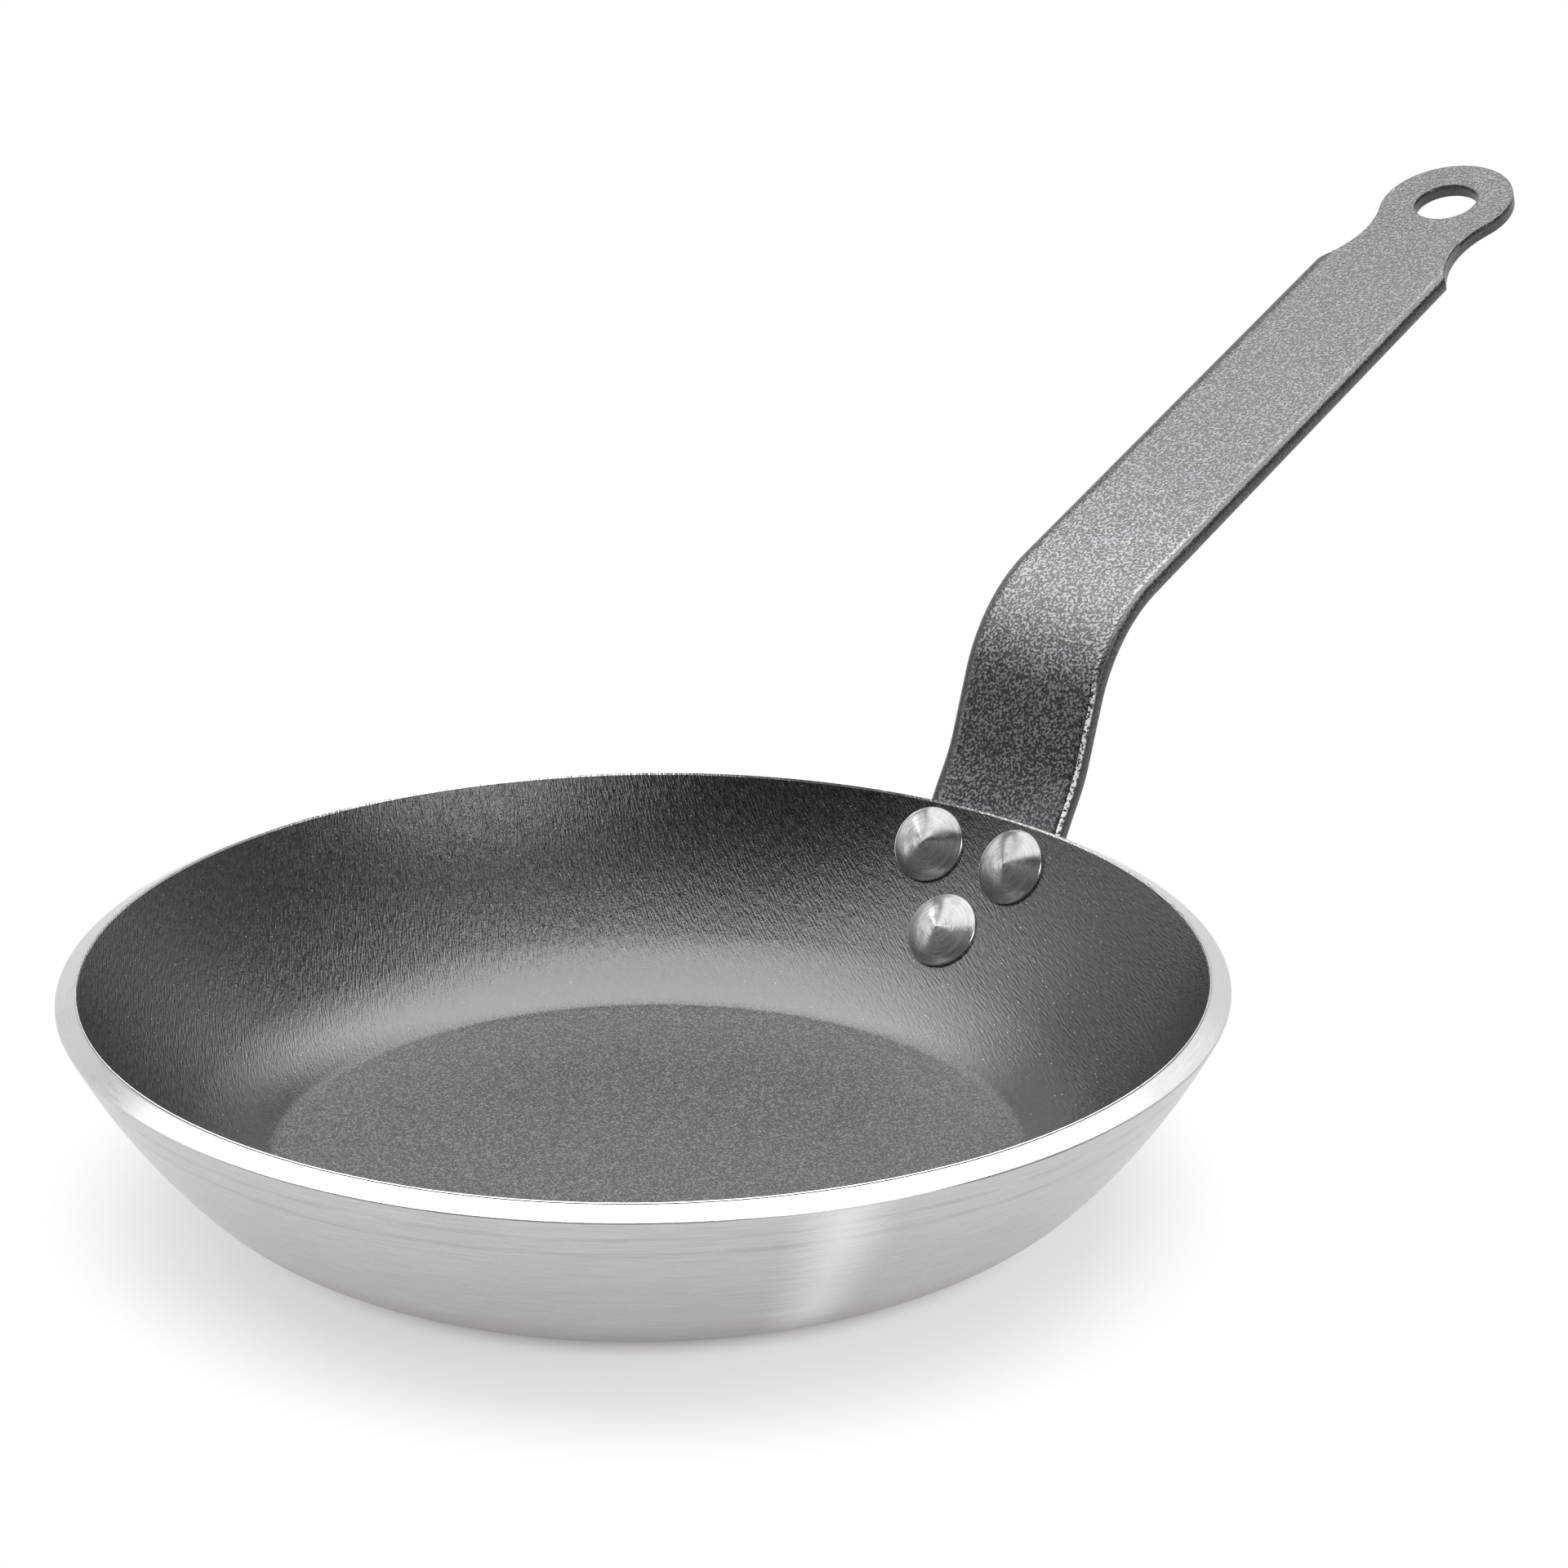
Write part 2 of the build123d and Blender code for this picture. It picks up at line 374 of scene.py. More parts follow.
@dataclass
class Paint:
    """A material being made: its wiring, its Principled shader and the place on the piece."""

    name: str
    wiring: Wiring = field(init=False)
    shader: bpy.types.Node = field(init=False)
    material: bpy.types.Material = field(init=False)

    def __post_init__(self) -> None:
        """Starts an empty material with a Principled shader."""
        self.material = bpy.data.materials.new(self.name)
        self.wiring = empty_tree(self.material)
        self.shader = self.wiring.add("ShaderNodeBsdfPrincipled")
        self.wiring.add("ShaderNodeOutputMaterial", {"Surface": self.shader.outputs[0]})

    def place(self) -> Socket:
        """Returns the place on the piece, in metres."""
        return self.wiring.add("ShaderNodeTexCoord").outputs["Object"]

    def uv(self) -> Socket:
        """Returns the piece's own surface coordinates."""
        return self.wiring.add("ShaderNodeUVMap", uv_map="surface").outputs[0]

    def tangent(self) -> Socket:
        """Returns the direction in which the piece's first surface coordinate grows."""
        return self.wiring.add("ShaderNodeTangent", direction_type="UV_MAP", uv_map="surface").outputs[0]

    def effect(self, tree: bpy.types.NodeTree, **inputs: object) -> Socket:
        """Puts in a node group and returns its result."""
        return self.wiring.add("ShaderNodeGroup", inputs, node_tree=tree).outputs[0]

    def set(self, **values: object) -> None:
        """Sets or links the shader's own sockets, which are named with underscores for spaces."""
        for label, value in values.items():
            self.wiring.put(value, self.shader.inputs[label.replace("_", " ")])

    def bump(self, height: Socket, depth: float, below: Socket | None = None) -> Socket:
        """Returns a normal bent by a height of 0 to 1 times a depth in metres, on top of another normal."""
        inputs = {"Height": height, "Distance": depth, "Strength": 1.0}
        if below is not None:
            inputs["Normal"] = below
        return self.wiring.add("ShaderNodeBump", inputs).outputs[0]


@dataclass(frozen=True)
class SheetFinish:
    """Bare aluminium sheet: a satin wall with turning rings under the rim, and a plainer cut rim.

    The wall is painted darker and warmer towards its foot, a painted shade, and at one turn a soft patch is
    painted light, a painted highlight.
    """

    colour: Colour = (0.6, 0.597, 0.588)
    dull: Colour = (0.44, 0.437, 0.428)
    # Painted shade: the darker, warmer colour painted towards the wall's foot.
    base: Colour = (0.26, 0.235, 0.195)
    smudge: Colour = (0.45, 0.45, 0.48)
    # Painted highlight: the colour, turn and width of a light patch painted on the wall.
    rubbing_and_painted_highlight: Colour = (0.86, 0.855, 0.84)
    painted_patch_turn: float = degrees(-120.8)
    painted_patch_width: float = 0.075
    # Heights over which the painted shade at the foot fades out.
    base_heights: Span = (1.0 * MM, 13.0 * MM)
    rim_heights: Span = (36.3 * MM, 36.8 * MM)
    ring_heights: Span = (33.3 * MM, 29.8 * MM)
    ring_widths: Span = (0.2 * MM, 0.7 * MM)
    line_pitch: float = 0.16 * MM
    line_drift: float = 14.0
    line_range: Span = (0.3, 0.7)
    line_depth: float = 0.012 * MM
    streak_pitch: float = 0.5 * MM
    streak_drift: float = 9.0
    smudge_scale: float = 60.0

    def material(self) -> bpy.types.Material:
        """Returns the finish as a material."""
        paint = Paint("bare_aluminium_brushed")
        wiring, place = paint.wiring, paint.place()
        height = wiring.parts(place)[2]
        below_rim = wiring.fade(height, *self.rim_heights)
        lines = paint.effect(ring_group(), Place=place, Pitch=self.line_pitch, Drift=self.line_drift)
        streaks = paint.effect(ring_group(), Place=place, Pitch=self.streak_pitch, Drift=self.streak_drift)
        smudges = paint.effect(smudge_group(), Place=place, Scale=self.smudge_scale)
        marks = wiring.times(wiring.step(streaks, 0.35, 0.62), below_rim)
        for ring in self.ring_heights:
            near = wiring.fade(wiring.away(height, ring), *self.ring_widths)
            mark = wiring.times(near, wiring.step(streaks, 0.3, 0.6))
            marks = wiring.math("ADD", wiring.times(marks, 0.75), mark)
        marks = wiring.times(marks, 0.5)
        tone = wiring.math("MULTIPLY_ADD", wiring.step(lines, *self.line_range), 0.2, marks, clamp=True)
        colour = wiring.mix(tone, self.colour, self.dull)
        # Painted highlight: a soft light patch painted on the wall at one turn, where a lamp's reflection
        # falls.
        toward = (math.cos(self.painted_patch_turn), math.sin(self.painted_patch_turn), 0.0)
        unit = wiring.vector("NORMALIZE", wiring.vector("MULTIPLY", place, FLAT))
        away = wiring.measure("DISTANCE", unit, toward)
        away = wiring.math("MULTIPLY_ADD", streaks, self.painted_patch_width, away)
        patch = wiring.step(away, 0.4 * self.painted_patch_width, 2.0 * self.painted_patch_width, 0.8, 0.0)
        colour = wiring.mix(wiring.times(patch, below_rim), colour, self.rubbing_and_painted_highlight)
        # Painted shade: the wall is painted darker and warmer towards its foot, where it mirrors the floor's
        # shadow.
        colour = wiring.mix(wiring.step(height, *self.base_heights, 0.95, 0.0), colour, self.base)
        stained = wiring.times(smudges, wiring.step(below_rim, 0.0, 1.0, 0.16, 0.08))
        paint.set(
            Base_Color=wiring.mix(stained, colour, self.smudge),
            Roughness=wiring.step(lines, *self.line_range, 0.26, 0.38),
            Normal=paint.bump(wiring.times(lines, below_rim), self.line_depth),
            Tangent=paint.tangent(),
            Metallic=1.0,
            Anisotropic=0.75,
            Anisotropic_Rotation=0.25,
        )
        return paint.material


@dataclass(frozen=True)
class CoatFinish:
    """Warm dark nonstick coat: lines rolled into the blank one way, a fine grain, and tiny light specks.

    The lines are fainter on the flat floor, which has a lighter grain, and towards the rim. Along the
    coat's top edge a thin line of the sheet is bare.
    """

    colour: Colour = (0.003, 0.0029, 0.0024)
    light: Colour = (0.052, 0.0505, 0.045)
    floor_light: Colour = (0.097, 0.0945, 0.0845)
    speck: Colour = (0.5, 0.47, 0.38)
    edge: Colour = (0.78, 0.77, 0.79)
    edge_heights: Span = (38.25 * MM, 38.35 * MM)
    floor_heights: Span = (4.2 * MM, 4.8 * MM)
    corner_heights: Span = (4.6 * MM, 11.0 * MM)
    worn_off: Span = (17.0 * MM, 34.0 * MM)
    lay: float = degrees(33.5)
    lines: tuple[float, float, float] = (0.36 * MM, 2.4 * MM, 1.0 * MM)
    line_depth: float = 0.17 * MM
    grain: float = 0.36 * MM
    grain_depth: float = 0.05 * MM
    speck_density: float = 2200.0
    speck_share: float = 0.018

    def material(self) -> bpy.types.Material:
        """Returns the finish as a material."""
        paint = Paint("nonstick_coat")
        wiring, place = paint.wiring, paint.place()
        height = wiring.parts(place)[2]
        drawn = paint.effect(grain_group(), Place=paint.uv(), Size=self.lines, Turn=self.lay)
        fine = paint.effect(grain_group(), Place=place, Size=(self.grain,) * 3, Turn=0.0)
        specks = paint.effect(speck_group(), Place=place, Density=self.speck_density, Share=self.speck_share)
        curved = wiring.step(height, *self.corner_heights, 0.4, 1.0)
        curved = wiring.times(curved, wiring.step(height, *self.worn_off, 1.0, 0.8))
        hatch = wiring.times(wiring.step(drawn, 0.48, 0.58), curved)
        grain = wiring.step(fine, 0.5, 0.62)
        flat = wiring.fade(height, *self.floor_heights)
        lip = wiring.step(height, *self.edge_heights)
        colour = wiring.mix(wiring.times(grain, 0.34), self.colour, self.light)
        colour = wiring.mix(wiring.times(hatch, 0.5), colour, self.light)
        colour = wiring.mix(wiring.times(grain, flat), colour, self.floor_light)
        colour = wiring.mix(wiring.times(specks, 0.45), colour, self.speck)
        relief = paint.bump(wiring.times(drawn, curved), self.line_depth)
        paint.set(
            Base_Color=wiring.mix(lip, colour, self.edge),
            Normal=paint.bump(fine, self.grain_depth, relief),
            Roughness=wiring.math("MULTIPLY_ADD", flat, 0.16, wiring.step(fine, 0.3, 0.7, 0.2, 0.26)),
            Metallic=lip,
            IOR=1.78,
        )
        return paint.material


@dataclass(frozen=True)
class EnamelFinish:
    """Hammertone enamel: a glossy grey skin of light veins over small dark pools.

    The veins are painted brighter on the bend, a painted highlight, and are calmer towards the eye. The
    strip's sides are painted darker, a painted shade, a bent normal makes its rolled edges look wider, and a
    thin light line is painted along one edge, a painted highlight. All this is told by the length from the
    rim and by the place across the strip, which runs on down its sides.
    """

    pool: Colour = (0.004, 0.004, 0.006)
    vein: Colour = (0.165, 0.165, 0.174)
    # Painted highlight: the vein colour on the bend.
    painted_bend_highlight: Colour = (0.25, 0.25, 0.26)
    # Painted highlight: the colour of a thin light line painted along one edge.
    wear_and_painted_highlight: Colour = (0.85, 0.85, 0.83)
    mottle: float = 0.52 * MM
    relief: float = 0.18 * MM
    # Painted highlight line: where it lies across the strip, its core and width, and how far in it moves.
    painted_line_at: float = 14.2 * MM
    painted_line_core: float = 0.08 * MM
    painted_line_width: float = 0.27 * MM
    painted_line_in: float = 0.75 * MM
    # Painted shade on the strip's sides: where it starts across the strip, and how ragged its border is.
    side: Span = (13.65 * MM, 14.15 * MM)
    side_ragged: float = 2.5 * MM
    roll: Span = (12.8 * MM, 15.3 * MM)
    roll_depth: float = 0.8 * MM
    riser_end: Span = (24.0 * MM, 34.0 * MM)
    bend_end: Span = (52.0 * MM, 90.0 * MM)
    calm: Span = (60.0 * MM, 175.0 * MM)

    def material(self) -> bpy.types.Material:
        """Returns the finish as a material."""
        paint = Paint("handle_enamel_hammertone")
        wiring = paint.wiring
        mottle = paint.effect(grain_group(), Place=paint.place(), Size=(self.mottle,) * 3, Turn=0.0)
        along, right, _ = wiring.parts(wiring.vector("MULTIPLY", paint.uv(), (UV_UNIT, -UV_UNIT, 0.0)))
        past = wiring.step(along, *self.riser_end)
        fading = wiring.fade(along, *self.bend_end)
        # Painted highlight: a thin light line along the strip's right rolled edge, strongest on the riser.
        edge = wiring.math("MULTIPLY_ADD", past, -self.painted_line_in, self.painted_line_at)
        width = wiring.math("MULTIPLY_ADD", past, 1.4 * self.painted_line_width, self.painted_line_width)
        wear_and_painted_highlight = wiring.fade(wiring.away(right, edge), self.painted_line_core, width)
        wear_and_painted_highlight = wiring.times(wear_and_painted_highlight, wiring.step(mottle, 0.42, 0.52))
        wear_and_painted_highlight = wiring.times(wear_and_painted_highlight, wiring.step(along, *self.riser_end, 0.9, 0.3))
        wear_and_painted_highlight = wiring.times(wear_and_painted_highlight, wiring.math("MULTIPLY_ADD", fading, 0.7, 0.3))
        across = wiring.math("ABSOLUTE", right)
        ragged = wiring.math("MULTIPLY_ADD", wiring.math("SUBTRACT", mottle, 0.5), self.side_ragged, across)
        web = wiring.times(wiring.step(mottle, 0.49, 0.58), wiring.step(along, *self.calm, 1.0, 0.65))
        # Painted highlight: the veins are painted brighter on the bend.
        vein = wiring.mix(wiring.times(past, fading), self.vein, self.painted_bend_highlight)
        colour = wiring.mix(web, self.pool, vein)
        # Painted shade: the strip's sides are painted nearly as dark as the pools.
        colour = wiring.mix(wiring.step(ragged, *self.side, 0.0, 0.85), colour, self.pool)
        rolled = paint.bump(wiring.fade(across, *self.roll), self.roll_depth)
        paint.set(
            Base_Color=wiring.mix(wear_and_painted_highlight, colour, self.wear_and_painted_highlight),
            Normal=paint.bump(mottle, self.relief, rolled),
            Roughness=wiring.step(mottle, 0.35, 0.65, 0.34, 0.24),
            Metallic=0.0,
            IOR=1.7,
        )
        return paint.material


@dataclass(frozen=True)
class RivetFinish:
    """Bare aluminium turned on a lathe: fine rings, faint patches of wear, and one sector painted darker.

    The turn is the share of a full turn round the head, from the handle's right by way of the rim. The
    darker sector is painted shade where the head mirrors the overhead softbox, whose image would be blown out
    there.
    """

    colour: Colour = (0.7, 0.695, 0.685)
    dull: Colour = (0.19, 0.188, 0.182)
    ring_pitch: float = 0.17 * MM
    ring_depth: float = 0.0025 * MM
    ring_drift: float = 4.0
    patch_scale: float = 420.0
    # Painted shade: the turn at the middle of the darker sector, its reach and how much it darkens.
    sector: float = 0.2075
    sector_reach: Span = (0.135, 0.185)
    sector_loss: float = 0.69

    def material(self) -> bpy.types.Material:
        """Returns the finish as a material."""
        paint = Paint("rivet_turned_aluminium")
        wiring = paint.wiring
        turn, out, _ = wiring.parts(paint.uv())
        inputs = {0: wiring.math("DIVIDE", out, self.ring_pitch), 1: wiring.times(turn, self.ring_drift)}
        rings = wiring.noise(wiring.add("ShaderNodeCombineXYZ", inputs).outputs[0], 1.0, 3.0)
        patches = paint.effect(smudge_group(), Place=paint.place(), Scale=self.patch_scale)
        grooves, wear_and_painted_highlight = wiring.step(rings, 0.46, 0.62), wiring.times(patches, 0.35)
        rubbing_and_painted_highlight = wiring.math("MULTIPLY_ADD", grooves, 0.55, wear_and_painted_highlight, clamp=True)
        # Painted shade: the sector that mirrors the overhead softbox is painted darker.
        sector = wiring.fade(wiring.away(turn, self.sector), *self.sector_reach)
        rubbing_and_painted_highlight = wiring.times(rubbing_and_painted_highlight, wiring.math("MULTIPLY_ADD", sector, -0.6, 1.0))
        colour = wiring.mix(rubbing_and_painted_highlight, self.colour, self.dull)
        paint.set(
            Base_Color=wiring.mix(wiring.times(sector, self.sector_loss), colour, NOWHERE),
            Roughness=wiring.step(patches, 0.0, 1.0, 0.2, 0.3),
            Normal=paint.bump(rings, self.ring_depth),
            Tangent=paint.tangent(),
            Metallic=0.87,
            Anisotropic=0.3,
            Anisotropic_Rotation=0.25,
        )
        return paint.material


@dataclass
class Bowl:
    """The pressed bowl and the coat inside it.

    The wall is a zone of a ball centred on the axis. The outline at a depth inside the outer face is the
    flat floor, a corner arc that is tangent to the ball, and the ball's own arc up to the rim. The outer
    corner is tangent to the floor too, and the inner one leaves it with the faint crease of the press.
    """

    rim_radius: float = 100.0 * MM
    rim_height: float = 36.8 * MM
    rim_slope: float = degrees(64.0)
    thickness: float = 4.0 * MM
    heel_radius: float = 31.4 * MM
    floor_edge: float = 64.3 * MM
    floor_corner: float = 31.0 * MM
    coat: float = 0.15 * MM
    coat_gap: float = 0.02 * MM
    rim_ease: float = 0.35 * MM
    steps: int = 288

    @property
    def ball(self) -> float:
        """The radius of the wall's outer face."""
        return self.rim_radius / math.sin(self.rim_slope)

    @property
    def centre(self) -> float:
        """The height of the ball's centre."""
        return self.rim_height + self.ball * math.cos(self.rim_slope)

    def outline(self, depth: float, corner: float, end: float, floor: float | None = None) -> np.ndarray:
        """The bowl's section at a depth inside its outer face.

        The ball's radius less the corner's, laid at the slope of their join, and the corner's radius, laid
        at the slope where it leaves the floor, add up to the way from the floor's edge to the ball's
        centre. The law of cosines gives both slopes. An edge that isn't given is where the corner is
        tangent to the floor.

        Args:
            depth: The depth inside the outer face.
            corner: The radius of the arc between floor and wall.
            end: The slope at which the wall ends, in radians.
            floor: The radius of the floor's edge.

        Returns:
            Rows of (radius, height) from the axis to the rim.
        """
        ball, drop = self.ball - depth, self.centre - depth
        arm = ball - corner
        edge = floor or math.sqrt(arm**2 - (drop - corner) ** 2)
        reach, lean = math.hypot(edge, drop), math.atan2(edge, drop)
        join = lean + math.acos((reach**2 + arm**2 - corner**2) / (2.0 * reach * arm))
        leave = lean - math.acos(min(1.0, (reach**2 + corner**2 - arm**2) / (2.0 * reach * corner)))
        centre = (arm * math.sin(join), self.centre - arm * math.cos(join))
        parts = [
            line((0.0, depth), (edge - 0.5 * MM, depth), 12),
            line((edge, depth), (edge, depth), 1),
            arc(centre, corner, leave - math.pi / 2, join - math.pi / 2, 40)[1:-1],
            arc((0.0, self.centre), ball, join - math.pi / 2, end - math.pi / 2, 24),
        ]
        return np.concatenate(parts)

    def rim(self, depth: float, slope: float) -> tuple[float, float]:
        """The (radius, height) of the wall at a depth and a slope."""
        ball = self.ball - depth
        return ball * math.sin(slope), self.centre - ball * math.cos(slope)

    def body(self) -> bpy.types.Object:
        """Builds the aluminium sheet with its square cut rim, whose two edges are eased by a small arc."""
        ease = self.rim_ease
        outer = self.outline(0.0, self.heel_radius, self.rim_slope - ease / self.ball)
        end = self.rim_slope - ease / (self.ball - self.thickness)
        inner = self.outline(self.thickness, self.floor_corner, end, self.floor_edge)
        corner = np.array(self.rim(0.0, self.rim_slope))
        inner_corner = np.array(self.rim(self.thickness, self.rim_slope))
        inward = (inner_corner - corner) / self.thickness
        turn = math.atan2(-inward[1], -inward[0])
        down = np.array([math.cos(self.rim_slope), math.sin(self.rim_slope)]) * -1.0
        outer_ease = arc(tuple(corner + (inward + down) * ease), ease, turn, turn + math.pi / 2, 7)
        spot = tuple(inner_corner + (-inward + down) * ease)
        inner_ease = arc(spot, ease, turn + math.pi / 2, turn + math.pi, 7)
        face = line(tuple(outer_ease[-1]), tuple(inner_ease[0]), 8)[1:-1]
        outline = np.concatenate([outer[:-1], outer_ease, face, inner_ease, inner[::-1][1:]])
        return build_mesh("bowl_sheet", [revolve(outline, self.steps)], 40.0)

    def blank(self, grid: Grid) -> Grid:
        """Reads a revolved grid's UV as the place on the flat disc that the bowl was pressed from.

        That place is the turn's (cosine, sine) times the length along the outline.
        """
        turn, along = grid.uv[..., 0] * 2.0 * math.pi, grid.uv[..., 1]
        return Grid(grid.points, np.stack([along * np.cos(turn), along * np.sin(turn)], axis=-1))

    def lining(self) -> bpy.types.Object:
        """Builds the coat, a thin closed layer over the sheet's inside that stops at the rim's cut face."""
        top, under = (
            self.outline(self.thickness + depth, self.floor_corner, self.rim_slope, self.floor_edge)
            for depth in (self.coat, self.coat_gap)
        )
        inside, back = self.blank(revolve(top, self.steps)), self.blank(revolve(under, self.steps))
        edge = revolve(line(tuple(top[-1]), tuple(under[-1]), 2), self.steps)
        turned = [Grid(grid.points[::-1], grid.uv[::-1]) for grid in (back, edge)]
        return build_mesh("coat_lining", [inside, *turned], 50.0)

    def dress(self) -> None:
        """Builds both pieces, gives them their finishes and lets them stand for their CAD nodes."""
        for piece, node, slot, finish in (
            (self.body(), "pan_body", "bare_aluminium", SheetFinish()),
            (self.lining(), "nonstick_coating", "nonstick", CoatFinish()),
        ):
            settle(piece, node, slot, finish.material())


def settle(piece: bpy.types.Object, node: str, slot: str, material: bpy.types.Material) -> None:
    """Gives a piece its finish, lets it ride on the root body and lets it stand for a CAD node.

    Args:
        piece: The new piece.
        node: The CAD node that it replaces.
        slot: The name of the piece's material slot; not used.
        material: The piece's finish.
    """
    piece.data.materials.append(material)
    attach(piece, "root")
    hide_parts(node)
    log.info("%s stands for %s with %d faces", piece.name, node, len(piece.data.polygons))


class Seat(Enum):
    """The three places for a rivet, by the CAD node that sits there: (node, row, side)."""

    LEFT = ("handle_rivet_left", 0, 1)
    RIGHT = ("handle_rivet_right", 0, -1)
    LOWER = ("handle_rivet_lower", 1, 0)


@dataclass
class Rivet:
    """One rivet: a low pointed dome in the bowl, a shank, and a set tail behind the strip."""

    seat: Seat
    bowl: Bowl
    below_rim: float = 8.4 * MM
    row_gap: float = 15.2 * MM
    pair_gap: float = 19.2 * MM
    shank: float = 3.0 * MM
    radius: float = 7.15 * MM
    edge: float = 0.9 * MM
    height: float = 3.0 * MM
    point: float = 1.15
    lip: float = 0.2
    ease: float = 0.3 * MM
    tail_radius: float = 4.7 * MM
    tail_height: float = 2.0 * MM
    strip: float = 3.0 * MM

    @property
    def slope(self) -> float:
        """The wall's slope at the rivet."""
        inside = self.bowl.ball - self.bowl.thickness
        return self.bowl.rim_slope - (self.below_rim + self.seat.value[1] * self.row_gap) / inside

    @property
    def turn(self) -> float:
        """The rivet's turn about the bowl's axis."""
        circle = (self.bowl.ball - self.bowl.thickness) * math.sin(self.slope)
        return math.asin(self.seat.value[2] * self.pair_gap / 2.0 / circle)

    def outline(self) -> np.ndarray:
        """The half section from the dome's point to the tail's end, as (radius, height above the wall).

        The dome's height falls from its point as the share of the radius to the power of point, and for
        the part called lip as its fifth power, so that it is nearly a cone that turns down at its edge.
        """
        coat = self.bowl.thickness + self.bowl.coat
        share = np.linspace(0.0, 1.0, 40)
        reach = self.radius - self.ease
        fall = (1.0 - self.lip) * share**self.point + self.lip * share**5
        dome = np.stack([share * reach, coat + self.height - (self.height - self.edge) * fall], axis=1)
        rim = arc((reach, coat + self.edge - self.ease), self.ease, math.pi / 2, 0.0, 6)
        low, out, soft = -self.strip, self.tail_radius, 2.0 * self.ease
        sides = np.array([[self.radius, coat], [self.shank, coat], [self.shank, low], [out, low]])
        tail = arc((out - soft, low - self.tail_height + soft), soft, 0.0, -math.pi / 2, 6)
        return np.concatenate([dome, rim, sides, tail, [[0.0, low - self.tail_height]]])

    def build(self) -> bpy.types.Object:
        """Turns the outline and carries it to its seat, with its axis along the wall's normal."""
        grid = revolve(self.outline(), 128)
        lean, ahead, left = math.sin(self.slope), math.cos(self.turn), math.sin(self.turn)
        inward = np.array([-lean * ahead, -lean * left, math.cos(self.slope)])
        aside = np.array([left, -ahead, 0.0])
        spot = np.array([0.0, 0.0, self.bowl.centre]) - inward * self.bowl.ball
        points = grid.points @ np.stack([aside, np.cross(inward, aside), inward]) + spot
        return build_mesh(self.seat.value[0] + "_turned", [Grid(points, grid.uv)], 40.0)


